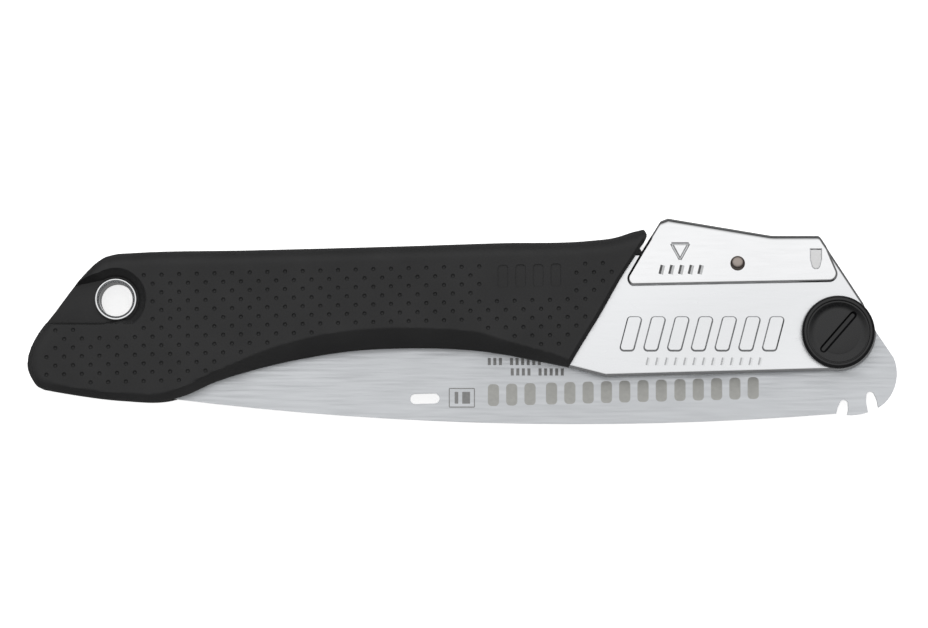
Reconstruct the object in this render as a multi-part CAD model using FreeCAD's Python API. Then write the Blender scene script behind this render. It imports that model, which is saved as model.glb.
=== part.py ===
import FreeCAD
import Part
import math
import os

# A folding pruning saw, closed and lying on its side. Millimetres, +Z up.
# The origin is on the blade's pivot axis, in the plane the saw lies on.
# +X runs towards the pivot end, +Y towards the spine that carries the lock lever.

V = FreeCAD.Vector

PIVOT = V(0, 0, 0)

# Overall sizes
HANDLE_REACH = 225.1  # pivot axis to the far end of the grip
HANDLE_THICKNESS = 20.0  # across the grip, and across the pivot bolt and its nut
MID = HANDLE_THICKNESS / 2  # height of the blade's middle plane

# Sheet and plate stock
FRAME_WIDTH = 10.4  # across the outside of the frame channel
FRAME_SHEET = 1.3
LEVER_SHEET = 1.2
BLADE_THICKNESS = 1.5

# Fits and clearances
RUNNING = 0.05  # radial, between parts that turn on each other
SIDE_GAP = 0.10  # beside a part that slides past another
SWEEP_GAP = 0.35  # between a moving edge and what it passes

# Blade pivot
HEAD_R = 10.15
BOLT_R = 4.0
BUSH_R = 6.0
SPACER_R = 9.0
COIN_SLOT = (14.4, 1.8, 1.3)  # length, width, depth
COIN_SLOT_ANGLE = 49.0

# Blade
TANG_R = 10.8  # round of the tang about the pivot
TANG_LAND_R = 23.7  # furthest the locking end of the tang reaches
TOOTH_PITCH = 3.0
TOOTH_DEPTH = 2.4
LOCK_ANGLES = (169.5, 192.0)  # how far the blade has turned in its two locked positions
OBLONG_HOLE = (8.1, 2.8)  # length, width
OBLONG_AT = V(-114.8, -18.25, 0)
BLADE_RISE = 0.027  # slope of the blade's middle line, falling away from the pivot

# Lock lever and lock bar
LEVER_PIVOT = V(-27.8, 19.25, 0)
RIVET_R = 1.5
RIVET_HEAD_R = 2.05
RIVET_HEAD = 0.9
RIVET_SPACER_WALL = 1.1
LEVER_TRAVEL = 12.4  # degrees
BAR_WIDTH = 2.7
BAR_X = -6.05  # middle of the bar
BAR_FOOT = 17.9  # height of its lower tip above the pivot
BAR_HEAD = 23.0
BAR_TIP_WIDTH = 1.8

LEVER_TOP = 27.0
THUMB_SLOPE = 0.165  # rise of the thumb rest over its length
MARK_DEPTH = 0.3  # of the marks pressed into the lever
BAR_RECESS = 0.35  # how far the lock bar's ends lie below the lever's sides

# Lever spring
SPRING_X = -46.0
SPRING_R = 2.4
SPRING_WIRE = 0.7
SPRING_TURNS = 4
SPRING_STEPS = 12  # sections in each turn

# Grip
GRIP_COVER = 3.0  # rubber over the frame's top and bottom edges
GRIP_EDGE = 4.0  # round along the spine
GRIP_BEVEL = 5.0  # bevel along the belly
BUTT_WALL = 4.1
TIP_GAP = 1.6  # blade tip to the end of its slot
SCOOP_MARGIN = 1.4  # rubber cleared away round the eyelet's lip

# Lanyard eyelet
EYELET_FROM_BUTT = 24.4
EYELET_Y = 9.2
EYELET_THROAT_R = 4.6
EYELET_WALL = 0.5
EYELET_BRIM = 0.9  # how far the lip stands out beyond the barrel
EYELET_COVER = 1.0  # rubber left between the frame and the eyelet's lip
EYELET_LIP = 0.9
EYELET_FLARE = 1.2
EYELET_ROLL = 0.8  # width of the lip's rolled edge

# Values that follow from the ones above
BUTT = -HANDLE_REACH
BOLT_END = 1.2 - MID  # tip of the bolt inside the nut
FRAME_INNER = FRAME_WIDTH / 2 - FRAME_SHEET
LEVER_INNER = FRAME_WIDTH / 2 + SIDE_GAP
LEVER_OUTER = LEVER_INNER + LEVER_SHEET
EYELET = V(BUTT + EYELET_FROM_BUTT, EYELET_Y, 0)
EYELET_BARREL_R = EYELET_THROAT_R + EYELET_WALL
EYELET_LIP_R = EYELET_BARREL_R + EYELET_BRIM
SCOOP_R = EYELET_LIP_R + SCOOP_MARGIN
SCOOP_FLOOR = FRAME_WIDTH / 2 + EYELET_COVER
TIP = V(BUTT + BUTT_WALL + TIP_GAP, -8.8, 0)
HEEL = V(-7.6, 9.6, 0)
SPINE_SLOPE = 0.0262
NOSE_START = 53.0  # pivot axis to the grip's nose
EMBOSS_HEIGHT = 0.7  # raised bars on the frame's sides
EMBOSS_ROUND = 0.6
EMBOSS_BARS = 7
TICKS = 13  # row of small pressed ticks below the bars
TICK_DEPTH = 0.14
FRAME_ROUND = 1.1  # rounding of the frame's outer edges
LEVER_ROUND = 0.9  # rounding of the lever's lower edges


def belly(share):
    """Place along the grip, as a share of its length from nose to butt."""
    return -(NOSE_START + share * (HANDLE_REACH - NOSE_START))


class Outline:
    """A closed outline in the XY plane, drawn from point to point."""

    def __init__(self, x, y):
        self.first = self.here = V(x, y, 0)
        self.edges = []

    def line(self, *points):
        for x, y in points:
            there = V(x, y, 0)
            self.edges.append(Part.LineSegment(self.here, there).toShape())
            self.here = there
        return self

    def arc(self, via, end):
        there = V(*end, 0)
        self.edges.append(Part.Arc(self.here, V(*via, 0), there).toShape())
        self.here = there
        return self

    def curve(self, *points):
        through = [self.here] + [V(x, y, 0) for x, y in points]
        spline = Part.BSplineCurve()
        spline.interpolate(through)
        self.edges.append(spline.toShape())
        self.here = through[-1]
        return self

    def prism(self, low, high):
        """The closed outline as a solid, between two distances from the middle plane."""
        if self.here.distanceToPoint(self.first) > 1e-6:
            self.line((self.first.x, self.first.y))
        face = Part.Face(Part.Wire(self.edges))
        face.translate(V(0, 0, MID + low))
        return face.extrude(V(0, 0, high - low))


def box(x, y, low, high):
    """A block over two spans, between two distances from the middle plane."""
    return Part.makeBox(x[1] - x[0], y[1] - y[0], high - low, V(x[0], y[0], MID + low))


def rod(radius, at, low, high):
    """A round bar along Z, between two distances from the middle plane."""
    return Part.makeCylinder(radius, high - low, V(at.x, at.y, MID + low))


def turned(profile, at):
    """A solid of revolution about Z. The profile is (radius, distance from the middle plane) points."""
    points = [V(r, 0, z) for r, z in profile]
    face = Part.Face(Part.makePolygon(points + points[:1]))
    solid = face.revolve(V(0, 0, 0), V(0, 0, 1), 360)
    solid.translate(V(at.x, at.y, MID))
    return solid


def upright_edges(solid, *places):
    """The edges that run along Z at the given points."""
    found = []
    for edge in solid.Edges:
        ends = [v.Point for v in edge.Vertexes]
        if len(ends) != 2 or abs(ends[0].x - ends[1].x) + abs(ends[0].y - ends[1].y) > 1e-4:
            continue
        if any(math.hypot(ends[0].x - x, ends[0].y - y) < 0.05 for x, y in places):
            found.append(edge)
    return found


def edges_in_plane(solid, distance):
    """The edges that lie at one distance from the middle plane."""
    at = MID + distance
    return [e for e in solid.Edges if abs(e.BoundBox.ZMin - at) < 1e-4 and abs(e.BoundBox.ZMax - at) < 1e-4]


def groove(start, end, width, depth, side, reach):
    """A pressed mark with sloping walls, in the side that is the given reach from the middle plane."""
    start = V(*start, 0)
    end = V(*end, 0)
    along = (end - start).normalize()
    across = V(-along.y, along.x, 0)
    face = side * reach
    corners = [start + across * (share * width) + V(0, 0, MID + face - side * sunk)
               for share, sunk in ((-1, -depth), (1, -depth), (0, depth))]
    section = Part.Face(Part.makePolygon(corners + corners[:1]))
    return section.extrude(end - start)


def spine_of_frame(x):
    """Height of the frame's top edge: level with the pivot end up to the grip, then falling to the butt."""
    return 24.0 + 0.024 * (x + 3.1) if x > -56 else 22.73 + SPINE_SLOPE * (x + 56)


def frame_outline():
    """Side of the frame: round about the pivot, straight belly, and a tongue that runs to the eyelet."""
    low = GRIP_COVER
    end = BUTT + 13.0
    path = Outline(-3.1, spine_of_frame(-3.1))
    path.line((-56, spine_of_frame(-56)), (end + 10.5, spine_of_frame(end + 10.5)))
    path.line((end + 1.5, 6.0), (end, -2.0), (end, -13.0))
    path.line((belly(0.767), -18.6 + low + 1.0))
    path.curve((belly(0.7), -13.8 + low), (belly(0.558), -7.25 + low), (belly(0.397), -4.4 + low),
               (belly(0.236), -5.75 + low), (-76.5, -7.2))
    path.line((-74.2, -9.9), (-64.6, -12.4), (-1.7, -10.67))
    path.arc((TANG_R * math.cos(math.radians(-48)), TANG_R * math.sin(math.radians(-48))), (TANG_R, 0.2))
    path.line((7.2, 8.3))
    return path


def frame_channel():
    half = FRAME_WIDTH / 2
    solid = frame_outline().prism(-half, half)
    spine = [e for e in solid.Edges if e.BoundBox.YMin > 18 and e.BoundBox.XLength > 20
             and e.BoundBox.ZLength < 1e-4]
    solid = solid.makeFillet(FRAME_SHEET, spine)
    showing = [e for e in edges_in_plane(solid, half) + edges_in_plane(solid, -half)
               if e.BoundBox.XMin > -75 and e.BoundBox.YMin < 12]
    solid = solid.makeFillet(FRAME_ROUND, showing)
    web_end = -(TANG_LAND_R + 3.0)
    under = Outline(30, -60)
    under.line((30, 60), (web_end, 60), (web_end, spine_of_frame(web_end) - FRAME_SHEET))
    under.line((-56, spine_of_frame(-56) - FRAME_SHEET), (BUTT - 5, spine_of_frame(BUTT - 5) - FRAME_SHEET))
    under.line((BUTT - 5, -60))
    solid = solid.cut(under.prism(-FRAME_INNER, FRAME_INNER))
    solid = solid.cut(rod(BOLT_R + RUNNING, PIVOT, -half - 1, half + 1))
    solid = solid.cut(rod(RIVET_R + RUNNING, LEVER_PIVOT, -half - 1, half + 1))
    solid = solid.cut(rod(EYELET_BARREL_R, EYELET, -half - 1, half + 1))
    slot = bar_path().prism(-half - 1, half + 1)
    solid = solid.cut(slot)
    for side in (-1, 1):
        face = side * (half + EMBOSS_HEIGHT)
        for k in range(EMBOSS_BARS):
            left = -61.0 + 6.6 * k
            bar = Outline(left, -5.3).line((left + 4.4, -5.3), (left + 7.0, 4.6), (left + 2.6, 4.6))
            bar = bar.prism(*sorted((side * half, face)))
            bar = bar.makeFillet(1.2, upright_edges(bar, *[(v.X, v.Y) for v in bar.Vertexes]))
            bar = bar.makeFillet(EMBOSS_ROUND, edges_in_plane(bar, face))
            solid = solid.fuse(bar)
        for k in range(TICKS):
            left = -53.0 + 2.6 * k
            solid = solid.cut(groove((left, -9.1), (left + 0.5, -7.0), 0.9, TICK_DEPTH, side, half))
    peg_foot = spine_of_frame(SPRING_X) - 0.5
    peg = Part.makeCylinder(SPRING_R - SPRING_WIRE - 0.2, 1.9, V(SPRING_X, peg_foot, MID), V(0, 1, 0))
    return solid.fuse(peg).removeSplitter()


def bar_path():
    """Slot in the frame's sides that the lock bar rises through as the lever turns, open at the top."""
    half = BAR_WIDTH / 2 + SWEEP_GAP
    foot = BAR_FOOT - SWEEP_GAP
    lean = (spine_of_frame(BAR_X) - BAR_FOOT) * math.tan(math.radians(LEVER_TRAVEL / 2))
    path = Outline(BAR_X + half, 60)
    path.line((BAR_X - half - lean, 60), (BAR_X - half - lean, spine_of_frame(BAR_X)))
    path.line((BAR_X - half, BAR_FOOT + 1.0), (BAR_X - half + 0.8, foot), (BAR_X + half - 0.8, foot),
              (BAR_X + half, BAR_FOOT + 1.0))
    return path


def bar_outline(grow, top):
    """Cross-section of the lock bar: straight flanks that taper to a rounded tip. It can be drawn larger."""
    tip = BAR_TIP_WIDTH / 2 + grow
    full = BAR_WIDTH / 2 + grow
    foot = BAR_FOOT - grow
    path = Outline(BAR_X - full, top)
    path.line((BAR_X - full, BAR_FOOT + 2.4), (BAR_X - tip, foot + 0.7))
    path.arc((BAR_X, foot), (BAR_X + tip, foot + 0.7))
    path.line((BAR_X + full, BAR_FOOT + 2.4), (BAR_X + full, top))
    return path


def lock_bar():
    """Cross bar staked in both sides of the lever, taller between the frame's sides than at its ends."""
    end = LEVER_OUTER - BAR_RECESS
    solid = bar_outline(0, BAR_HEAD).prism(-end, end)
    solid = solid.fuse(bar_outline(0, LEVER_TOP - LEVER_SHEET).prism(-FRAME_INNER, FRAME_INNER))
    # The foot of the bar is open over the blade, so that the tang passes beneath it with the lever at rest.
    beside = BLADE_THICKNESS / 2 + SWEEP_GAP
    return solid.cut(rod(TANG_LAND_R + SWEEP_GAP, PIVOT, -beside, beside)).removeSplitter()


def lever():
    """Channel that straddles the frame: its sides carry the lock bar, its web is the thumb rest."""
    front = LEVER_TOP
    path = Outline(-47.2, front + THUMB_SLOPE * 29.3)
    path.line((-49.2, front + THUMB_SLOPE * 24.5), (-54.2, 23.0), (-59.1, 14.6), (-57.3, 12.95), (1.2, 14.1),
              (-3.1, 24.1), (-5.0, front), (-18.3, front))
    solid = path.prism(-LEVER_OUTER, LEVER_OUTER)
    solid = solid.makeFillet(12.0, upright_edges(solid, (-18.3, front)))
    bends = [e for e in solid.Edges if e.BoundBox.YMin > front - 0.3 and e.BoundBox.ZLength < 1e-4]
    solid = solid.makeFillet(LEVER_SHEET + 0.8, bends)
    solid = solid.makeFillet(2.3, upright_edges(solid, (-59.1, 14.6), (1.2, 14.1)))
    solid = solid.makeFillet(1.2, upright_edges(solid, (-5.0, front), (-57.3, 12.95)))
    rims = [e for e in edges_in_plane(solid, LEVER_OUTER) + edges_in_plane(solid, -LEVER_OUTER)
            if e.BoundBox.YMin < 20]
    solid = solid.makeFillet(LEVER_ROUND, rims)
    inside = Outline(-70, 0).line((20, 0), (20, front - LEVER_SHEET), (-18.5, front - LEVER_SHEET))
    inside.line((-70, front - LEVER_SHEET + THUMB_SLOPE * 51.5))
    solid = solid.cut(inside.prism(-LEVER_INNER, LEVER_INNER))
    solid = solid.cut(rod(RIVET_R + RUNNING, LEVER_PIVOT, -LEVER_OUTER - 1, LEVER_OUTER + 1))
    solid = solid.cut(bar_outline(0, BAR_HEAD).prism(-LEVER_OUTER - 1, LEVER_OUTER + 1))
    mouths = [e for e in edges_in_plane(solid, LEVER_OUTER) + edges_in_plane(solid, -LEVER_OUTER)
              if abs(e.CenterOfMass.x - BAR_X) < BAR_WIDTH and BAR_FOOT - 1 < e.CenterOfMass.y < BAR_HEAD + 1]
    solid = solid.makeChamfer(BAR_RECESS, mouths)
    corners = [(-46.2, 24.7), (-43.8, 20.3), (-41.4, 24.7)]
    for side in (-1, 1):
        for k in range(3):
            solid = solid.cut(groove(corners[k], corners[(k + 1) % 3], 0.8, MARK_DEPTH, side, LEVER_OUTER))
        for k in range(5):
            left = -49.2 + 2.7 * k
            solid = solid.cut(groove((left, 16.2), (left + 0.6, 18.7), 1.3, MARK_DEPTH, side, LEVER_OUTER))
    return solid


def lever_rivet():
    """Pin the lever rocks on, with a domed head over each side."""
    seat = LEVER_OUTER + SIDE_GAP / 2
    dome = (RIVET_HEAD_R ** 2 + RIVET_HEAD ** 2) / (2 * RIVET_HEAD)
    solid = rod(RIVET_R, LEVER_PIVOT, -seat, seat)
    for side in (-1, 1):
        ball = Part.makeSphere(dome, V(LEVER_PIVOT.x, LEVER_PIVOT.y, MID + side * (seat + RIVET_HEAD - dome)))
        low, high = sorted((side * seat, side * (seat + RIVET_HEAD + 1)))
        solid = solid.fuse(ball.common(rod(RIVET_HEAD_R + 1, LEVER_PIVOT, low, high)))
    return solid.removeSplitter()


def rivet_spacer():
    """Tube round the rivet that holds the frame's sides apart."""
    tube = rod(RIVET_R + RIVET_SPACER_WALL, LEVER_PIVOT, -FRAME_INNER, FRAME_INNER)
    return tube.cut(rod(RIVET_R + RUNNING, LEVER_PIVOT, -FRAME_INNER, FRAME_INNER))


def lever_spring():
    """Coil that pushes the thumb end of the lever up, standing on the frame's web."""
    foot = spine_of_frame(SPRING_X) + SPRING_WIRE / 2 + 0.05
    web = LEVER_TOP - LEVER_SHEET + THUMB_SLOPE * (-18.5 - SPRING_X - SPRING_R - SPRING_WIRE)
    top = web - SPRING_WIRE / 2 - SWEEP_GAP / 2
    rise = (top - foot) / (2 * math.pi * SPRING_TURNS)
    rings = []
    for k in range(SPRING_STEPS * SPRING_TURNS + 1):
        turn = 2 * math.pi * k / SPRING_STEPS
        at = V(SPRING_R * math.cos(turn), rise * turn, SPRING_R * math.sin(turn))
        heading = V(-SPRING_R * math.sin(turn), rise, SPRING_R * math.cos(turn))
        rings.append(Part.Wire(Part.Circle(at, heading, SPRING_WIRE / 2).toShape()))
    solid = Part.makeLoft(rings, True)
    solid.translate(V(SPRING_X, foot, MID))
    return solid


def blade():
    """Plate with a tang at the pivot, two notches for the lock bar, and teeth along its upper edge."""
    back = V(0.25, -22.4, 0)
    path = Outline(HEEL.x, HEEL.y)
    length = HEEL.distanceToPoint(TIP) - 3.0
    teeth = round(length / TOOTH_PITCH)
    along = (TIP - HEEL).normalize()
    inward = V(-along.y, along.x, 0)
    for k in range(teeth):
        root = HEEL + along * (k * TOOTH_PITCH)
        valley = root + along * (0.62 * TOOTH_PITCH) + inward * TOOTH_DEPTH
        after = root + along * TOOTH_PITCH
        path.line((valley.x, valley.y), (after.x, after.y))
    path.arc((TIP.x - 0.6, TIP.y - 2.2), (TIP.x + 2.6, TIP.y - 5.0))
    path.line((TIP.x + 8.6, TIP.y - 5.9))
    path.arc((TIP.x / 2, -24.55), (back.x, back.y))
    path.arc((TANG_LAND_R * math.cos(math.radians(-70)), TANG_LAND_R * math.sin(math.radians(-70))),
             (TANG_LAND_R * math.cos(math.radians(-56)), TANG_LAND_R * math.sin(math.radians(-56))))
    path.arc((16.8, -11.5), (15.9, -6.8))
    path.line((TANG_R * math.cos(math.radians(4)), TANG_R * math.sin(math.radians(4))))
    path.arc((TANG_R * math.cos(math.radians(50)), TANG_R * math.sin(math.radians(50))),
             (TANG_R * math.cos(math.radians(97)), TANG_R * math.sin(math.radians(97))))
    half = BLADE_THICKNESS / 2
    solid = path.prism(-half, half)
    for angle in LOCK_ANGLES:
        notch = bar_outline(3 * RUNNING, BAR_FOOT + 12).prism(-half - 1, half + 1)
        notch.rotate(V(0, 0, 0), V(0, 0, 1), -angle)
        solid = solid.cut(notch)
    length, width = OBLONG_HOLE
    reach = (length - width) / 2
    hole = box((-reach, reach), (-width / 2, width / 2), -half - 1, half + 1)
    for end in (-reach, reach):
        hole = hole.fuse(rod(width / 2, V(end, 0, 0), -half - 1, half + 1))
    hole.rotate(V(0, 0, 0), V(0, 0, 1), math.degrees(math.atan(BLADE_RISE)))
    hole.translate(OBLONG_AT)
    solid = solid.cut(hole)
    return solid.cut(rod(BUSH_R + RUNNING, PIVOT, -half - 1, half + 1))


def slotted_head(solid, face):
    """Cuts a round-ended coin slot into a head, below a face at that distance from the middle plane."""
    length, width, depth = COIN_SLOT
    reach = (length - width) / 2
    slot = box((-reach, reach), (-width / 2, width / 2), face - depth, face + 1)
    for end in (-reach, reach):
        slot = slot.fuse(rod(width / 2, V(end, 0, 0), face - depth, face + 1))
    slot.rotate(V(0, 0, 0), V(0, 0, 1), COIN_SLOT_ANGLE)
    return solid.cut(slot)


def head_profile(seat, face):
    """Half section of the pivot's head: a rolled rim, a fine groove, and a dish round a flat centre."""
    r = HEAD_R
    return [(0, seat), (r - 0.5, seat), (r, seat + 0.5), (r, face - 0.9), (r - 0.35, face - 0.25),
            (r - 0.9, face), (r - 1.3, face - 0.15), (r - 1.45, face - 0.6), (r - 1.65, face - 0.6),
            (r - 1.8, face - 0.3),
            (r - 3.0, face - 0.75), (0.6 * r, face - 0.9), (0, face - 0.9)]


def pivot_bolt():
    """Bolt with a broad head and a coin slot."""
    solid = turned(head_profile(FRAME_WIDTH / 2, MID), PIVOT)
    solid = slotted_head(solid, MID - 0.9)
    return solid.fuse(rod(BOLT_R, PIVOT, BOLT_END, FRAME_WIDTH / 2)).removeSplitter()


def pivot_nut():
    """Round nut on the rear side, the same size as the bolt's head, with a flat face to lie on."""
    r = HEAD_R
    seat = -FRAME_WIDTH / 2
    profile = [(BOLT_R + RUNNING, seat), (r - 0.5, seat), (r, seat - 0.5), (r, 0.9 - MID), (r - 0.9, -MID),
               (0, -MID), (0, BOLT_END - RUNNING), (BOLT_R + RUNNING, BOLT_END - RUNNING)]
    return turned(profile, PIVOT)


def tube(outer, inner, low, high):
    """A plain ring round the blade's pivot."""
    return rod(outer, PIVOT, low, high).cut(rod(inner, PIVOT, low, high))


def lanyard_eyelet():
    """Hollow rivet through the butt, its ends flared and rolled over."""
    half = SCOOP_FLOOR + EYELET_LIP
    throat = half - EYELET_FLARE
    mouth = EYELET_LIP_R - EYELET_ROLL
    steps = 6
    inner = []
    for k in range(steps + 1):
        turn = math.pi / 2 * k / steps
        inner.append((EYELET_THROAT_R + (mouth - EYELET_THROAT_R) * (1 - math.cos(turn)),
                      throat + (EYELET_FLARE - 0.1) * math.sin(turn)))
    lip = [(EYELET_LIP_R - 0.5, half), (EYELET_LIP_R - 0.12, half - 0.25), (EYELET_LIP_R, half - 0.55),
           (EYELET_LIP_R - 0.2, SCOOP_FLOOR), (EYELET_BARREL_R, SCOOP_FLOOR)]
    upper = inner + lip
    lower = [(r, -z) for r, z in reversed(upper)]
    return turned(upper + lower, EYELET)


def spine_corner(side):
    """What is taken off the grip along one side of its spine to leave it round."""
    start = belly(0.08)
    length = start - BUTT
    corner = Part.makeBox(length, GRIP_EDGE * 2, GRIP_EDGE * 2, V(-length, -GRIP_EDGE, 0))
    if side < 0:
        corner.translate(V(0, 0, -2 * GRIP_EDGE))
    corner = corner.cut(Part.makeCylinder(GRIP_EDGE, length + 2, V(-length - 1, -GRIP_EDGE, 0), V(1, 0, 0)))
    below = Part.makeBox(length, GRIP_EDGE * 2, GRIP_EDGE * 4, V(-length, -3 * GRIP_EDGE, -2 * GRIP_EDGE))
    corner = corner.cut(below)
    corner.rotate(V(0, 0, 0), V(0, 0, 1), math.degrees(math.atan(SPINE_SLOPE)))
    corner.translate(V(start, spine_of_frame(start) + GRIP_COVER, MID + side * (MID - GRIP_EDGE)))
    return corner


def grip():
    """Rubber cover, open along the belly for the blade and scooped out round the eyelet."""
    top = GRIP_COVER
    path = Outline(-53.8, 28.7)
    path.curve((-59.2, 27.3), (-66.0, spine_of_frame(-66.0) + top),
               (belly(0.14), spine_of_frame(belly(0.14)) + top))
    path.line((BUTT + 24.0, spine_of_frame(BUTT + 24.0) + top))
    path.arc((BUTT + 20.5, spine_of_frame(BUTT + 21.0) + top - 0.7), (BUTT + 17.2, 17.6))
    path.line((BUTT + 2.0, -2.1))
    path.arc((BUTT, -9.4), (BUTT + 3.2, -15.6))
    path.line((BUTT + 13.8, -17.2), (belly(0.815), -18.9), (belly(0.767), -18.6))
    path.curve((belly(0.7), -13.8), (belly(0.558), -7.25), (belly(0.397), -4.4), (belly(0.236), -5.75),
               (-74.8, -9.6))
    path.line((-53.0, 26.6))
    solid = path.prism(-MID, MID)
    belly_edges = [e for e in solid.Edges if e.BoundBox.ZLength < 1e-4 and e.BoundBox.YMax < 0
                   and e.BoundBox.XLength > 60]
    solid = solid.makeChamfer(GRIP_BEVEL, belly_edges)
    for side in (-1, 1):
        solid = solid.cut(spine_corner(side))
    inside = frame_outline().prism(-FRAME_WIDTH / 2, FRAME_WIDTH / 2)
    solid = solid.cut(inside)
    slot_end = BUTT + BUTT_WALL
    slot = Outline(-50, -60)
    slot.line((-50, 10), (BUTT + 13.0, 0), (BUTT + 13.0, TIP.y + 1.4), (slot_end, TIP.y + 0.8))
    slot.line((slot_end, -60))
    solid = solid.cut(slot.prism(-FRAME_INNER, FRAME_INNER))
    for side in (-1, 1):
        low, high = sorted((side * SCOOP_FLOOR, side * (MID + 1)))
        solid = solid.cut(rod(SCOOP_R, EYELET, low, high))
        solid = solid.cut(box((BUTT - 5, EYELET.x), (EYELET_Y - SCOOP_R, EYELET_Y + SCOOP_R), low, high))
    return solid.cut(rod(EYELET_BARREL_R, EYELET, -MID, MID))


def main():
    beside = BLADE_THICKNESS / 2 + SIDE_GAP / 2
    parts = {
        "frame_channel": frame_channel(),
        "grip": grip(),
        "lanyard_eyelet": lanyard_eyelet(),
        "pivot_bolt": pivot_bolt(),
        "pivot_nut": pivot_nut(),
        "pivot_bush": tube(BUSH_R, BOLT_R + RUNNING, -FRAME_INNER, FRAME_INNER),
        "spacer_front": tube(SPACER_R, BUSH_R + RUNNING, beside, FRAME_INNER),
        "spacer_rear": tube(SPACER_R, BUSH_R + RUNNING, -FRAME_INNER, -beside),
        "blade": blade(),
        "lock_lever": lever(),
        "lock_bar": lock_bar(),
        "lever_rivet": lever_rivet(),
        "rivet_spacer": rivet_spacer(),
        "lever_spring": lever_spring(),
    }
    os.makedirs("parts", exist_ok=True)
    for name, shape in parts.items():
        solids = shape.Solids
        print(name, len(solids), shape.isValid(), round(shape.Volume, 1))
        (solids[0] if len(solids) == 1 else shape).exportStep(f"parts/{name}.step")


main()
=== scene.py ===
import bmesh
import bpy
import math
import numpy as np
from mathutils import Matrix, Vector


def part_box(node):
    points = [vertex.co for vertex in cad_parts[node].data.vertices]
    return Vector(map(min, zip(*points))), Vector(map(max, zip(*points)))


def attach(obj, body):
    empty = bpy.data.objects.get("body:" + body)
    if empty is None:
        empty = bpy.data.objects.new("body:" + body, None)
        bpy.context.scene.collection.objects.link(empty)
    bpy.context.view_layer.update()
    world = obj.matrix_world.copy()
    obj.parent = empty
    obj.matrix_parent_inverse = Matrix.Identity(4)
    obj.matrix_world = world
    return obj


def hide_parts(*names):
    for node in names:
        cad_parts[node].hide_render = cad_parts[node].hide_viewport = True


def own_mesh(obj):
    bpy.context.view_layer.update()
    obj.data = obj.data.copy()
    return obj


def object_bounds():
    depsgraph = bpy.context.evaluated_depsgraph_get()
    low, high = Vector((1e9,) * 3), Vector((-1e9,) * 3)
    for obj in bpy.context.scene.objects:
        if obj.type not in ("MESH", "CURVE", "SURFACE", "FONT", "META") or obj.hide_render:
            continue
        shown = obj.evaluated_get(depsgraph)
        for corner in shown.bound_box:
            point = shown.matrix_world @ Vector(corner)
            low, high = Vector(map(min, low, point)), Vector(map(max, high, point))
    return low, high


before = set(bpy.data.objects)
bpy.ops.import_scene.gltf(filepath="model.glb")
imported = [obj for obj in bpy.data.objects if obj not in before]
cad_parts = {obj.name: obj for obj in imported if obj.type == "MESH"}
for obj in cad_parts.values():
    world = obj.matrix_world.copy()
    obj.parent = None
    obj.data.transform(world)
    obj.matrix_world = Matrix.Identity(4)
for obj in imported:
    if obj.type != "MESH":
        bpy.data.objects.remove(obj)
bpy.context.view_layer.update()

# ---------------------------------------------------------------- frame
# A channel folded from polished stainless sheet, with a tongue that runs back inside the grip. Its sides carry
# a row of raised slanted bars, and the pivot, the lever's rivet and the eyelet pass through it.
MM = 0.001


def new_material(name):
    """A new material with its nodes, its links and its shader."""
    material = bpy.data.materials.new(name)
    material.use_nodes = True
    tree = material.node_tree
    return material, tree.nodes, tree.links, tree.nodes["Principled BSDF"]


def noise(nodes, links, scale, stretch=(1, 1, 1), detail=4.0):
    """A noise texture on the piece's own place, drawn out along an axis by a small stretch."""
    place = nodes.new("ShaderNodeTexCoord").outputs["Object"]
    mapping = nodes.new("ShaderNodeMapping")
    mapping.inputs["Scale"].default_value = stretch
    texture = nodes.new("ShaderNodeTexNoise")
    texture.inputs["Scale"].default_value = scale
    texture.inputs["Detail"].default_value = detail
    links.new(place, mapping.inputs["Vector"])
    links.new(mapping.outputs["Vector"], texture.inputs["Vector"])
    return texture.outputs["Fac"]


def ramp(nodes, links, source, stops):
    """Turns a 0 to 1 value into colours or levels at the given places."""
    colour = nodes.new("ShaderNodeValToRGB")
    elements = colour.color_ramp.elements
    for k, (place, value) in enumerate(stops):
        element = elements[k] if k < 2 else elements.new(place)
        element.position = place
        element.color = (*value, 1) if hasattr(value, "__len__") else (value, value, value, 1)
    links.new(source, colour.inputs["Fac"])
    return colour.outputs["Color"]


def multiplied(nodes, links, first, second):
    """The product of two colours."""
    blend = nodes.new("ShaderNodeMix")
    blend.data_type = "RGBA"
    blend.blend_type = "MULTIPLY"
    # Socket 0 is the factor, 6 and 7 are the two colours, and output 2 is their product.
    blend.inputs[0].default_value = 1.0
    links.new(first, blend.inputs[6])
    links.new(second, blend.inputs[7])
    return blend.outputs[2]


def relief(nodes, links, shader, height, strength, depth):
    """Fine surface texture as a bump, its depth in millimetres."""
    bump = nodes.new("ShaderNodeBump")
    bump.inputs["Strength"].default_value = strength
    bump.inputs["Distance"].default_value = depth * MM
    links.new(height, bump.inputs["Height"])
    links.new(bump.outputs["Normal"], shader.inputs["Normal"])


def metal(name, tint, rough, grain, stretch, bump, cloud=0.05):
    """Metal with a directional grain in its tone, gloss and relief, and a broad soft change of tone."""
    material, nodes, links, shader = new_material(name)
    streaks = noise(nodes, links, grain, stretch, 6.0)
    broad = noise(nodes, links, 16, (1, 1.6, 1), 1.0)
    fine = ramp(nodes, links, streaks, [(0.3, [c * 0.94 for c in tint]), (0.7, tint)])
    soft = ramp(nodes, links, broad, [(0.35, 1 - cloud), (0.65, 1.0)])
    links.new(multiplied(nodes, links, fine, soft), shader.inputs["Base Color"])
    gloss = ramp(nodes, links, streaks, [(0.3, rough * 0.8), (0.7, rough * 1.25)])
    links.new(gloss, shader.inputs["Roughness"])
    relief(nodes, links, shader, streaks, bump, 0.02)
    shader.inputs["Metallic"].default_value = 1.0
    return material


def paint(node, material):
    """Gives a carried-over part its finish."""
    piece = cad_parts[node]
    piece.data.materials.clear()
    piece.data.materials.append(material)


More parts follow.
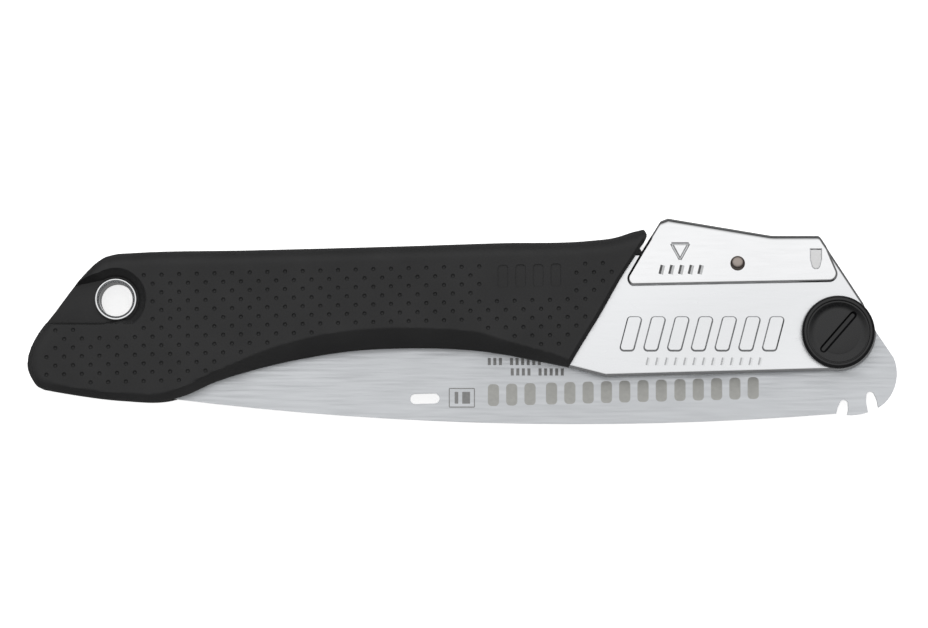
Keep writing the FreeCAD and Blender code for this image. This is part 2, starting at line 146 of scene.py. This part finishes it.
along = (0.12, 1, 1)  # a polishing grain drawn out along the saw
across_axis = (1, 1, 0.1)  # turning marks round an upright axis
paint("frame_channel", metal("polished_frame", (0.89, 0.90, 0.915), 0.22, 900, along, 0.22, 0.09))

# ---------------------------------------------------------------- pivot bush and spacers
# The blade turns on a plain steel bush between two cream nylon washers, which keep it central in the frame.
# They are hidden by the frame's sides, apart from their edges.
machined = metal("machined_steel", (0.50, 0.51, 0.52), 0.35, 1500, across_axis, 0.4)
paint("pivot_bush", machined)
nylon, nodes, links, shader = new_material("spacer_nylon")
cream = ramp(nodes, links, noise(nodes, links, 400), [(0.3, (0.62, 0.60, 0.54)), (0.7, (0.72, 0.70, 0.64))])
links.new(cream, shader.inputs["Base Color"])
shader.inputs["Roughness"].default_value = 0.55
paint("spacer_front", nylon)
paint("spacer_rear", nylon)

# ---------------------------------------------------------------- blade
# Ground carbon steel with a satin finish, drawn out along its length. Both sides have etched marks: a row of
# slanted bars, a framed size mark and two lines of fine ticks. The etching is only a film on the steel.
paint("blade", metal("blade_satin", (0.69, 0.708, 0.73), 0.40, 1400, (0.05, 1, 1), 0.5, 0.05))
middle = sum(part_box("blade"), Vector()).z / 2
blade_side = (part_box("blade")[1].z - middle) / MM
etched, nodes, links, shader = new_material("etched_steel")
tones = [(0.3, (0.43, 0.43, 0.412)), (0.7, (0.475, 0.475, 0.452))]
links.new(ramp(nodes, links, noise(nodes, links, 900), tones), shader.inputs["Base Color"])
shader.inputs["Metallic"].default_value = 0.55
shader.inputs["Roughness"].default_value = 0.55
inked, nodes, links, shader = new_material("etched_dark")
tones = [(0.3, (0.24, 0.24, 0.24)), (0.7, (0.29, 0.29, 0.285))]
links.new(ramp(nodes, links, noise(nodes, links, 1200), tones), shader.inputs["Base Color"])
shader.inputs["Metallic"].default_value = 0.3
shader.inputs["Roughness"].default_value = 0.6


def make_active(piece):
    """Selects one piece and nothing else."""
    bpy.ops.object.select_all(action="DESELECT")
    piece.select_set(True)
    bpy.context.view_layer.objects.active = piece


def slanted_bar(name, size, lean, round_by=0.0):
    """A flat bar standing at the origin, leaning along X, with its upright edges rounded. Millimetres."""
    bpy.ops.object.select_all(action="DESELECT")
    bpy.ops.mesh.primitive_cube_add(size=1)
    bar = bpy.context.object
    bar.name = name
    bar.data.transform(Matrix.Diagonal((*[s * MM for s in size], 1)))
    for vert in bar.data.vertices:
        vert.select = vert.co.y > 0
    bpy.ops.object.mode_set(mode="EDIT")
    bpy.ops.transform.translate(value=(lean * MM, 0, 0))
    bpy.ops.object.mode_set(mode="OBJECT")
    if round_by:
        # only the four upright edges carry a bevel weight
        weight = bar.data.attributes.new("bevel_weight_edge", "FLOAT", "EDGE")
        for k, edge in enumerate(bar.data.edges):
            a, b = (bar.data.vertices[v].co for v in edge.vertices)
            weight.data[k].value = 1.0 if abs(a.z - b.z) > abs(a.y - b.y) + abs(a.x - b.x) else 0.0
        bevel = bar.modifiers.new("round", "BEVEL")
        bevel.limit_method = "WEIGHT"
        bevel.width = round_by * MM
        bevel.segments = 4
        bpy.ops.object.modifier_apply(modifier=bevel.name)
    return bar


def repeated(seed, places):
    """Copies of a piece made at the origin, each with its own mesh, set at the places and joined into one."""
    made = []
    for place in places:
        twin = seed.copy()
        twin.data = seed.data.copy()
        twin.data.transform(Matrix.Translation(place))
        bpy.context.collection.objects.link(twin)
        made.append(twin)
    name = seed.name
    bpy.data.objects.remove(seed)
    bpy.ops.object.select_all(action="DESELECT")
    for twin in made:
        twin.select_set(True)
    bpy.context.view_layer.objects.active = made[0]
    bpy.ops.object.join()
    made[0].name = name
    return made[0]


def both_sides(x, y, height):
    """The same place on the front and on the rear side."""
    return [Vector((x * MM, y * MM, middle + side * height * MM)) for side in (-1, 1)]


film = 0.06  # thickness of the etched pieces, which stand 0.02 out of the steel
skin = blade_side + 0.02 - film / 2
rise, bar_pitch, tick_pitch, stroke = 0.027, 5.1, 1.55, 0.28
bars = [first + bar_pitch * k for first, count in ((-97.2, 3), (-81.0, 7), (-45.2, 5)) for k in range(count)]
seed = slanted_bar("etched_bars", (3.1, 6.1, film), 1.5, 1.1)
etching = repeated(seed, [p for x in bars for p in both_sides(x, -15.2 + rise * (x + 21), skin)])
etching.data.materials.append(etched)

# The size mark is four strokes round two blocks: length, height, and where the middle stands.
printed = []
for length, height, x, y in (
        (7.0, stroke, -104.5, -15.4), (7.0, stroke, -104.5, -20.6), (stroke, 5.2, -108.0, -18.0),
        (stroke, 5.2, -101.0, -18.0), (1.0, 3.3, -106.0, -18.0), (2.2, 3.3, -103.3, -18.0)):
    seed = slanted_bar("size_mark", (length, height, film), 0, 0.12)
    printed.append(repeated(seed, both_sides(x, y, skin)))

# Two lines of ticks, each with one tick left out like a space between words.
seed = slanted_bar("fine_print", (0.85, 2.0, film), 0.15)
ticks = [(first + tick_pitch * k, y) for first, y, space in ((-97.0, -7.9, 3), (-90.6, -10.8, 4))
         for k in range(10) if k != space]
printed.append(repeated(seed, [p for x, y in ticks for p in both_sides(x, y, skin)]))
make_active(printed[-1])
for piece in printed:
    piece.select_set(True)
bpy.ops.object.join()
print_marks = bpy.context.object
print_marks.name = "etched_print"
print_marks.data.materials.append(inked)
for piece in (etching, print_marks):
    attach(piece, "blade")

# ---------------------------------------------------------------- pivot bolt and nut
# Blackened steel, turned: the bolt's broad head has a rolled rim, a fine groove, a dish and a flat centre, and
# a round-ended slot for a coin. The nut on the rear side is the same size, and the saw lies on its flat face.
pivot = Vector((0, 0, 0))
oxide, nodes, links, shader = new_material("black_oxide")
specks = noise(nodes, links, 1500)
black = ramp(nodes, links, specks, [(0.35, (0.003, 0.003, 0.0035)), (0.7, (0.0055, 0.0055, 0.0065))])
links.new(black, shader.inputs["Base Color"])
links.new(ramp(nodes, links, specks, [(0.3, 0.19), (0.7, 0.3)]), shader.inputs["Roughness"])
relief(nodes, links, shader, specks, 0.25, 0.02)


def spun(name, profile, centre, material, steps=96, crisp=30):
    """Turns a closed profile of (radius, height) points, in millimetres, about an upright axis."""
    bpy.ops.object.select_all(action="DESELECT")
    bpy.ops.mesh.primitive_circle_add(vertices=len(profile), radius=1)
    piece = bpy.context.object
    piece.name = name
    for vert, (r, z) in zip(piece.data.vertices, profile):
        vert.co = (centre.x + r * MM, centre.y, middle + z * MM)
    bpy.ops.object.mode_set(mode="EDIT")
    bpy.ops.mesh.select_all(action="SELECT")
    bpy.ops.mesh.spin(steps=steps, angle=2 * math.pi, center=(centre.x, centre.y, 0), axis=(0, 0, 1))
    bpy.ops.mesh.select_all(action="SELECT")
    bpy.ops.mesh.remove_doubles(threshold=0.001 * MM)
    bpy.ops.mesh.delete_loose()
    bpy.ops.mesh.select_all(action="SELECT")
    bpy.ops.mesh.normals_make_consistent(inside=False)
    bpy.ops.object.mode_set(mode="OBJECT")
    piece.data.materials.append(material)
    bpy.ops.object.shade_smooth_by_angle(angle=math.radians(crisp))
    return piece


def cut(piece, tool):
    """Takes the tool's shape out of the piece and removes the tool."""
    modifier = piece.modifiers.new("cut", "BOOLEAN")
    modifier.operation = "DIFFERENCE"
    modifier.object = tool
    modifier.solver = "EXACT"
    make_active(piece)
    bpy.ops.object.modifier_apply(modifier=modifier.name)
    bpy.data.objects.remove(tool)


def block(name, low_ring, high_ring):
    """A closed solid between two outlines that have the same number of corners."""
    n = len(low_ring)
    bpy.ops.object.select_all(action="DESELECT")
    bpy.ops.mesh.primitive_cylinder_add(vertices=n, radius=1, depth=2)
    piece = bpy.context.object
    piece.name = name
    for vert in piece.data.vertices:
        # which corner of the ring this is, from its angle round the axis
        k = int(round(math.atan2(vert.co.y, vert.co.x) / (2 * math.pi) * n)) % n
        vert.co = (low_ring if vert.co.z < 0 else high_ring)[k]
    bpy.ops.object.mode_set(mode="EDIT")
    bpy.ops.mesh.select_all(action="SELECT")
    bpy.ops.mesh.normals_make_consistent(inside=False)
    bpy.ops.object.mode_set(mode="OBJECT")
    return piece


def quarter(centre, radius, start, end, count=5):
    """Points of a round, as (radius, height), between two angles in degrees."""
    return [(centre[0] + radius * math.cos(a), centre[1] + radius * math.sin(a))
            for a in np.radians(np.linspace(start, end, count))]


r = (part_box("pivot_bolt")[1].x) / MM
face = (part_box("pivot_bolt")[1].z - middle) / MM
seat = 5.2  # the frame's outer side
rim_round = 1.1
rim = quarter((r - rim_round, face - rim_round), rim_round, 0, 90, 7)
groove = [(r - 1.35, face - 0.1), (r - 1.5, face - 0.5), (r - 1.7, face - 0.5)]
dish = [(r - rim_round - 2.75 * t, face - 0.32 - 0.62 * (3 * t * t - 2 * t**3))
        for t in (0.28, 0.45, 0.6, 0.75, 0.9, 1.0)]
centre = [(6.0, face - 0.9), (5.8, face - 0.86), (0, face - 0.86)]
head = [(0, seat), (r - 0.5, seat), (r, seat + 0.4)] + rim + groove + dish + centre
bolt = spun("bolt_head", head, pivot, oxide)


def coin_slot(width, z):
    """A round-ended outline across the head, turned to where the slot stands."""
    turn = math.radians(49)
    half_length = 6.2
    ends = [(half_length * math.copysign(1, math.cos(a)) + width / 2 * math.cos(a), width / 2 * math.sin(a))
            for a in np.radians(np.arange(5, 365, 10))]
    return [((x * math.cos(turn) - y * math.sin(turn)) * MM, (x * math.sin(turn) + y * math.cos(turn)) * MM,
             middle + z * MM) for x, y in ends]


cut(bolt, block("coin_slot", coin_slot(1.0, face - 2.1), coin_slot(3.2, face + 0.4)))
bpy.ops.object.shade_smooth_by_angle(angle=math.radians(30))
nut_profile = ([(0, 0.9 - face), (4.4, 0.9 - face), (4.8, 0.6 - face), (5.2, 0.12 - face), (5.6, -face)]
               + [(x, -y) for x, y in quarter((r - rim_round, face - rim_round), rim_round, 90, 0, 7)]
               + [(r, -seat - 0.4), (r - 0.5, -seat), (0, -seat)])
nut = spun("round_nut", nut_profile, pivot, oxide)
for piece, node in ((bolt, "pivot_bolt"), (nut, "pivot_nut")):
    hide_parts(node)
    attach(piece, "handle")

# ---------------------------------------------------------------- lock lever, lock bar and rivet
# The lever is a channel of bright stainless sheet that straddles the frame. The lock bar is staked in its front
# end, and it rocks on a nickelled rivet with domed heads, in a tube between the frame's sides.
paint("lock_lever", metal("bright_lever", (0.92, 0.925, 0.935), 0.18, 900, along, 0.18, 0.06))
paint("lock_bar", metal("staked_bar", (0.74, 0.74, 0.74), 0.3, 1500, across_axis, 0.4))
paint("rivet_spacer", machined)
nickel = metal("nickel_rivet", (0.38, 0.33, 0.30), 0.18, 1300, (1, 1, 1), 0.25)
rivet_at = sum(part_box("lever_rivet"), Vector()) / 2
rivet_top = (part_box("lever_rivet")[1].z - middle) / MM
shank_r, dome_r, dome_rise = 1.5, 2.05, 0.9
dome = [(dome_r * math.cos(a), rivet_top - dome_rise + dome_rise * math.sin(a))
        for a in np.radians(np.linspace(0, 90, 9))]
upper = [(shank_r, rivet_top - dome_rise)] + dome
rivet = spun("domed_rivet", upper + [(x, -z) for x, z in reversed(upper)], rivet_at, nickel, 48, 50)
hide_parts("lever_rivet")
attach(rivet, "handle")

# ---------------------------------------------------------------- lever spring
# A coil of drawn wire that stands on the frame's spine under the thumb rest. In the saw it is squeezed as the
# lever goes down and pushes the thumb rest up again; here it is one fixed coil that goes with the handle.
coil_low, coil_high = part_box("lever_spring")
wire_r = 0.35
coil_r = (coil_high.x - coil_low.x) / MM / 2 - wire_r
turns = 4
climb = (coil_high.y - coil_low.y) / MM - 2 * wire_r
coil_x = (coil_low.x + coil_high.x) / 2
bpy.ops.object.select_all(action="DESELECT")
bpy.ops.mesh.primitive_circle_add(vertices=10, radius=wire_r * MM, location=(coil_r * MM, 0, 0))
spring = bpy.context.object
spring.name = "thumb_spring"
bpy.ops.object.transform_apply(location=True)
helix = spring.modifiers.new("wind", "SCREW")
helix.axis = "Y"
helix.angle = 2 * math.pi * turns
helix.screw_offset = climb * MM
helix.steps = helix.render_steps = 24 * turns
bpy.ops.object.modifier_apply(modifier=helix.name)
spring.data.transform(Matrix.Translation((coil_x, coil_low.y + wire_r * MM, middle)))
bpy.ops.object.mode_set(mode="EDIT")
bpy.ops.mesh.select_all(action="SELECT")
bpy.ops.mesh.remove_doubles(threshold=0.001 * MM)
bpy.ops.mesh.fill_holes(sides=12)
bpy.ops.mesh.select_all(action="SELECT")
bpy.ops.mesh.normals_make_consistent(inside=False)
bpy.ops.object.mode_set(mode="OBJECT")
bpy.ops.object.shade_smooth_by_angle(angle=math.radians(50))
spring.data.materials.append(metal("spring_wire", (0.36, 0.36, 0.37), 0.3, 1800, (1, 1, 1), 0.3))
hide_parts("lever_spring")
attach(spring, "handle")
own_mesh(spring)

# ---------------------------------------------------------------- grip
# One-piece rubber cover, pressed over the frame's tongue. Its sides are nearly flat and dimpled, the spine is
# rounded, the belly's smooth bevel leads in to the blade's slot, and the butt is scooped out round the eyelet.
rubber, nodes, links, shader = new_material("grip_rubber")
grain = noise(nodes, links, 2600)
tones = [(0.3, (0.017, 0.017, 0.0175)), (0.7, (0.021, 0.021, 0.0215))]
links.new(ramp(nodes, links, noise(nodes, links, 90), tones), shader.inputs["Base Color"])
shader.inputs["Specular IOR Level"].default_value = 0.32
links.new(ramp(nodes, links, grain, [(0.3, 0.46), (0.7, 0.6)]), shader.inputs["Roughness"])
relief(nodes, links, shader, grain, 0.35, 0.04)
grip_side = (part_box("grip")[1].z - middle) / MM
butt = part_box("grip")[0].x
eyelet = sum(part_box("lanyard_eyelet"), Vector()) / 2


def through(points, share):
    """A smooth line through points, read at shares of its length from 0 to 1."""
    points = np.array(points, float)
    steps = np.linalg.norm(np.diff(points, axis=0), axis=1)
    at = np.concatenate(([0], np.cumsum(steps))) / steps.sum()
    slope = np.gradient(points, at, axis=0)
    share = np.clip(np.atleast_1d(share), 0, 1)
    k = np.clip(np.searchsorted(at, share, side="right") - 1, 0, len(points) - 2)
    width = (at[k + 1] - at[k])[:, None]
    t = (share - at[k])[:, None] / width
    # a cubic between neighbouring points, with the slopes taken over both neighbours
    return ((2 * t**3 - 3 * t**2 + 1) * points[k] + (t**3 - 2 * t**2 + t) * width * slope[k]
            + (3 * t**2 - 2 * t**3) * points[k + 1] + (t**3 - t**2) * width * slope[k + 1])


# The side view's four edges, in millimetres from the pivot: spine, belly, the slanted front, and the butt.
b = butt / MM
spine = [(-53.8, 28.6), (-56.4, 28.0), (-61.9, 26.3), (-68.9, 25.45), (-93.9, 24.8), (-121.7, 23.9),
         (-163.3, 22.8), (b + 28.4, 22.0), (b + 24.3, 21.7), (b + 21.5, 21.0)]
belly = [(-74.8, -9.6), (-81.7, -8.2), (-93.6, -5.9), (-105, -4.7), (-121.3, -4.4), (-133.5, -5.0),
         (-149, -7.3), (-162, -10.3), (-173.4, -13.9), (-181.5, -17.5), (-185.2, -18.6), (b + 25.7, -18.7),
         (b + 13.8, -17.3), (b + 6.0, -16.0)]
front = [spine[0], (-53.1, 26.9), (-54.6, 24.1), (-60.4, 14.9), (-66.1, 4.8), (-71.0, -3.2), belly[0]]
back = [spine[-1], (b + 18.7, 19.0), (b + 15.9, 16.2), (b + 7.6, 5.6), (b + 2.0, -2.1), (b + 0.25, -6.5),
        (b + 0.1, -10.0), (b + 1.3, -13.0), (b + 3.0, -15.2), belly[-1]]
# The side is a net between the four edges, closer near the spine's round and the belly's bevel.
columns = 130
u = np.linspace(0, 1, columns + 1)
v = np.concatenate((np.linspace(0, 0.16, 10)[:-1], np.linspace(0.16, 0.78, 14)[:-1], np.linspace(0.78, 1, 22)))
rows = len(v)
top, bottom = through(spine, u), through(belly, u)
start, end = through(front, v), through(back, v)
U, W = np.meshgrid(u, v, indexing="ij")
U, W = U[..., None], W[..., None]
side = ((1 - W) * top[:, None] + W * bottom[:, None] + (1 - U) * start[None] + U * end[None]
        - (1 - U) * (1 - W) * top[0] - U * (1 - W) * top[-1] - (1 - U) * W * bottom[0] - U * W * bottom[-1])


def rolled(distance, radius, drop):
    """How far a surface has fallen at a distance inside its edge, for a quarter-round of that radius."""
    t = 1 - np.clip(distance / radius, 0, 1)
    return drop * (1 - np.sqrt(np.clip(1 - t * t, 0, 1)))


def beside(points, line):
    """Least distance from each point to a line of points."""
    fine = through(line, np.linspace(0, 1, 200))
    start, step = fine[:-1], np.diff(fine, axis=0)
    offset = points[..., None, :] - start
    share = np.clip((offset * step).sum(-1) / (step * step).sum(-1), 0, 1)
    return np.sqrt(((offset - share[..., None] * step) ** 2).sum(-1)).min(-1)


from_spine, from_belly = beside(side, spine), beside(side, belly)
from_front, from_back = beside(side, front), beside(side, back)
# The bevel is widest at mid-belly and runs out towards the front and the butt's lower corner. Each pair is a
# distance behind the pivot and what the bevel measures there.
bevel_widths = [(72, 1.2), (80, 2.6), (92, 3.4), (100, 5.0), (122, 5.5), (143, 5.4), (156, 4.5), (170, 2.7),
                (182, 2.2), (188, 1.8), (200, 1.7), (225, 1.6)]
bevel_falls = [(72, 2.0), (80, 4.0), (100, 5.2), (160, 5.2), (180, 4.0), (190, 2.2), (225, 2.0)]
behind = -side[..., 0]
fall = np.interp(behind, *zip(*bevel_falls))
t = np.clip(1 - from_belly / np.interp(behind, *zip(*bevel_widths)), 0, 1)
bevel = fall * (0.82 * t + 0.18 * t**3)
drop = np.maximum.reduce([bevel, rolled(from_spine, 3.9, 4.2), rolled(from_front, 1.1, 1.1),
                          rolled(from_back, 3.0, 2.6)])
height = grip_side - drop


def joined_edges(edge, lifts, shares):
    """Lines that carry one edge of the net across to the other side, each raised a little."""
    at, up = side[:, edge:][:, :1], height[:, edge:][:, :1]
    lines = [np.dstack((at + (0, lift), up * share))[:, 0] for lift, share in zip(lifts, shares)]
    return np.stack(lines, axis=1)


# A closed net: up the front side, over a crowned spine, down the rear side and back across the belly.
crown_rise = 0.35
across = np.linspace(1, -1, 9)[1:-1]
back_again = np.linspace(-1, 1, 7)[1:-1]
crown = joined_edges(0, np.sin(np.linspace(0, math.pi, 9)[1:-1]) * crown_rise, across)
under = joined_edges(-1, np.zeros(len(back_again)), back_again)
front_side, rear_side = np.dstack((side[:, ::-1], height[:, ::-1])), np.dstack((side, -height))
net = np.concatenate((front_side, crown, rear_side, under), axis=1) * MM
net[..., 2] += middle
around = net.shape[1]
body = bmesh.new()
corners = [[body.verts.new(point) for point in station] for station in net]
for i in range(columns):
    for k in range(around):
        after = (k + 1) % around
        body.faces.new((corners[i][k], corners[i + 1][k], corners[i + 1][after], corners[i][after]))
for station in (corners[0], corners[-1]):
    # each end is a wall of strips from the front side's edge to the rear side's
    last = 2 * rows + len(across) - 1
    for k in range(rows - 1):
        body.faces.new((station[k], station[k + 1], station[last - k - 1], station[last - k]))
    body.faces.new(station[rows - 1:rows + len(across) + 1])
    body.faces.new(station[last:] + station[:1])
bmesh.ops.recalc_face_normals(body, faces=body.faces)
mesh = bpy.data.meshes.new("grip_rubber")
body.to_mesh(mesh)
body.free()
grip = bpy.data.objects.new("grip_rubber", mesh)
bpy.context.collection.objects.link(grip)
grip.data.materials.append(rubber)


# The pocket that the frame's tongue fills, the blade's slot, and the hole for the eyelet's barrel. Each cavity
# goes with its reach to either side of the middle.
tongue = [(-40, -8), (-40, 22), (-56, 22.6), (b + 23.5, 18.9), (b + 14.4, 6.0), (b + 13.0, -2),
          (b + 13.0, -13), (-185.2, -14.6), (-173.4, -10.8), (-149, -4.3), (-121.3, -1.4), (-93.6, -2.8),
          (-76.5, -6.8)]
slot = [(-40, -40), (-40, 10), (b + 13, 8), (b + 13, -8.9), (b + 4.1, -9.6), (b + 4.1, -40)]
for outline, reach in ((tongue, 5.15), (slot, 3.9)):
    rings = [[(px * MM, py * MM, middle + s * reach * MM) for px, py in outline] for s in (-1, 1)]
    cut(grip, block("cavity", *rings))
barrel_r = 5.05
bpy.ops.mesh.primitive_cylinder_add(
    vertices=64, radius=barrel_r * MM, depth=0.05, location=(eyelet.x, eyelet.y, middle))
cut(grip, bpy.context.object)


# Scoop round the eyelet, with a sloping wall that sweeps round its upper side, open to the slanted end.
def scoop_ring(radius, low, z, side):
    """The scoop's outline at one depth: round the eyelet, then out past the slanted end."""
    arc = [(radius * math.cos(a), radius * math.sin(a)) for a in np.radians(np.linspace(-62, 122, 26))]
    spread = [(-9.5, radius * 0.84 - 1.2), (-34, radius * 0.84 - 7.0), (-34, -low), (-3.4, -low)]
    return [(eyelet.x + x * MM, eyelet.y + y * MM, middle + side * z * MM) for x, y in arc + spread]


for side_sign in (-1, 1):
    cut(grip, block("scoop", scoop_ring(6.35, 6.5, 6.25, side_sign), scoop_ring(9.0, 7.3, 10.6, side_sign)))

# Dimples in staggered rows parallel to the spine, clear of every edge and of the plain panel near the front.
pitch, row_step, tilt = 4.9, 2.45, 0.0262
dimple_r, dimple_lift = 0.66, 0.24
# the plain band along the belly, as distances behind the pivot and widths
plain_band = bevel_widths[:8] + [(182, 2.4), (188, 2.2), (225, 2.2)]


def keeps_dimple(px, py):
    """Whether a dimple stands clear of the edges, the panel and the scoop."""
    spot = np.array([[px, py]])
    top_y = np.interp(px, top[::-1, 0], top[::-1, 1])
    low_y = np.interp(px, bottom[::-1, 0], bottom[::-1, 1]) + np.interp(-px, *zip(*plain_band))
    ex, ey = px - eyelet.x / MM, py - eyelet.y / MM
    in_panel = -98.5 < px < -75 and 9.2 < py < 21.2
    in_scoop = math.hypot(ex, ey) < 9.8 or (ex < 0 and -8.6 < ey < 11.0)
    off_ends = px > -55 or px < b + 3 or beside(spot, front)[0] < 3.0 or beside(spot, back)[0] < 3.2
    return low_y + 1.2 < py < top_y - 5.2 and not (off_ends or in_panel or in_scoop)


inside = []
for j in range(-20, 22):
    for i in range(-4, 44):
        px = -58.0 - (i + 0.5 * (j % 2)) * pitch
        py = 12.0 + j * row_step + tilt * (px + 56)
        if keeps_dimple(px, py):
            inside.append((px, py))
bpy.ops.object.select_all(action="DESELECT")
bpy.ops.mesh.primitive_ico_sphere_add(subdivisions=2, radius=dimple_r * MM, location=(0, 0, 0))
bpy.context.object.name = "dimples"
spots = [p for x, y in inside for p in both_sides(x, y, grip_side + dimple_lift)]
cut(grip, repeated(bpy.context.object, spots))
seed = slanted_bar("panel_bars", (2.9, 6.4, 0.8), 1.9, 0.9)
spots = [p for k in range(4) for p in both_sides(-95.0 + 4.9 * k, 15.4 + 0.13 * k, grip_side + 0.05)]
cut(grip, repeated(seed, spots))
bpy.ops.object.shade_smooth_by_angle(angle=math.radians(34))

# A small tab of the same rubber stands out under the nose, against the lever's rear edge.
bpy.ops.object.select_all(action="DESELECT")
bpy.ops.mesh.primitive_cube_add(size=1)
tab = bpy.context.object
tab.name = "grip_tab"
tab.data.transform(Matrix.Diagonal((2.8 * MM, 1.7 * MM, 12.6 * MM, 1)))
tab.data.transform(Matrix.Translation((-56.0 * MM, 22.4 * MM, middle)))
soften = tab.modifiers.new("soften", "BEVEL")
soften.width = 0.5 * MM
soften.segments = 3
bpy.ops.object.modifier_apply(modifier=soften.name)
bpy.ops.object.shade_smooth_by_angle(angle=math.radians(40))
tab.data.materials.append(rubber)
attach(tab, "handle")
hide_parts("grip")
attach(grip, "handle")

# ---------------------------------------------------------------- lanyard eyelet
# A hollow rivet of bright plated brass through the butt, its barrel open right through and its lips rolled
# over. A cord can be tied through it.
chrome = metal("eyelet_chrome", (0.88, 0.89, 0.90), 0.07, 600, (1, 1, 0.2), 0.08, 0.02)
lip_top = (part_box("lanyard_eyelet")[1].z - middle) / MM
lip_r, flare_depth = 0.45, 1.1
lip = quarter((5.5, lip_top - lip_r), lip_r, -60, 180, 13)
bore = [(barrel_r - lip_r * (1 - math.cos(a)), lip_top - lip_r - flare_depth * math.sin(a))
        for a in np.radians(np.linspace(15, 90, 6))]
half = [(5.1, lip_top - 2 * lip_r), (5.7, lip_top - 2 * lip_r)] + lip + bore
ring_piece = spun("rolled_eyelet", half + [(x, -z) for x, z in reversed(half)], eyelet, chrome, 80, 50)
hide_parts("lanyard_eyelet")
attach(ring_piece, "handle")

# ---------------------------------------------------------------- camera, floor and light
# The saw lies on plain pale paper under a soft light from beyond its spine, seen from almost straight above.
aim = Vector((-0.1039, 0.0054, middle))
tilt = math.radians(2.5)
distance = 1.8
camera_data = bpy.data.cameras.new("camera")
camera_data.lens = 250.3
camera_data.sensor_width = 36
camera = bpy.data.objects.new("camera", camera_data)
camera.location = aim + distance * Vector((0, -math.sin(tilt), math.cos(tilt)))
camera.rotation_euler = (tilt, 0, 0)
bpy.context.collection.objects.link(camera)
bpy.context.scene.camera = camera

bpy.ops.object.select_all(action="DESELECT")
bpy.ops.mesh.primitive_plane_add(size=14, location=(0, 0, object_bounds()[0][2] - 0.0002))
floor = bpy.context.object
floor.name = "floor"
paper, nodes, links, shader = new_material("floor_paper")
fibre = ramp(nodes, links, noise(nodes, links, 500), [(0.3, 0.91), (0.7, 0.93)])
links.new(fibre, shader.inputs["Base Color"])
shader.inputs["Roughness"].default_value = 0.9
shader.inputs["Emission Color"].default_value = (1, 1, 1, 1)
shader.inputs["Emission Strength"].default_value = 0.75
floor.visible_glossy = False
floor.data.materials.append(paper)

# A pale backdrop that only the camera sees, so that it neither lights the saw nor shows in the metal.
bpy.ops.object.select_all(action="DESELECT")
bpy.ops.mesh.primitive_uv_sphere_add(segments=48, ring_count=24, radius=9)
backdrop = bpy.context.object
backdrop.name = "backdrop"
cloth, nodes, links, shader = new_material("backdrop_cloth")
shader.inputs["Base Color"].default_value = (0, 0, 0, 1)
shader.inputs["Roughness"].default_value = 1.0
shader.inputs["Specular IOR Level"].default_value = 0.0
shader.inputs["Emission Strength"].default_value = 0.93
weave = ramp(nodes, links, noise(nodes, links, 3), [(0.3, 0.96), (0.7, 1.0)])
links.new(weave, shader.inputs["Emission Color"])
backdrop.data.materials.append(cloth)
for ray in ("diffuse", "glossy", "transmission", "shadow", "volume_scatter"):
    setattr(backdrop, "visible_" + ray, False)

# The sky: bright overhead and beyond the spine, dark low in front, and dimmer all round near the ground.
world = bpy.data.worlds.new("studio")
bpy.context.scene.world = world
world.use_nodes = True
nodes, links = world.node_tree.nodes, world.node_tree.links
heading = nodes.new("ShaderNodeSeparateXYZ")
links.new(nodes.new("ShaderNodeTexCoord").outputs["Generated"], heading.inputs["Vector"])
lean = nodes.new("ShaderNodeMath")
lean.operation = "MULTIPLY_ADD"
lean.inputs[1].default_value = 0.5
links.new(heading.outputs["Y"], lean.inputs[0])
links.new(heading.outputs["Z"], lean.inputs[2])
by_lean = [(0.0, 0.3), (0.2, 0.3), (0.42, 0.08), (0.62, 0.07), (0.84, 0.8), (1.0, 0.95)]
by_height = [(0.0, 0.5), (0.3, 0.55), (0.8, 1.0)]
sky = multiplied(nodes, links, ramp(nodes, links, lean.outputs[0], by_lean),
                 ramp(nodes, links, heading.outputs["Z"], by_height))
links.new(sky, nodes["Background"].inputs["Color"])
nodes["Background"].inputs["Strength"].default_value = 1.1


def softbox(name, place, size, power):
    """A soft area light aimed at the saw. It isn't mirrored, so it never glares in the bright metal."""
    light = bpy.data.lights.new(name, "AREA")
    light.shape = "RECTANGLE"
    light.size, light.size_y = size
    light.energy = power
    lamp = bpy.data.objects.new(name, light)
    lamp.location = place
    lamp.rotation_euler = (Vector(place) - aim).to_track_quat("Z", "Y").to_euler()
    lamp.visible_glossy = False
    bpy.context.collection.objects.link(lamp)


softbox("key", (-0.1, 0.9, 1.0), (2.0, 1.4), 10)
softbox("fill", (-0.5, -0.7, 0.9), (1.0, 0.8), 2.5)
bpy.context.scene.view_settings.view_transform = "Standard"
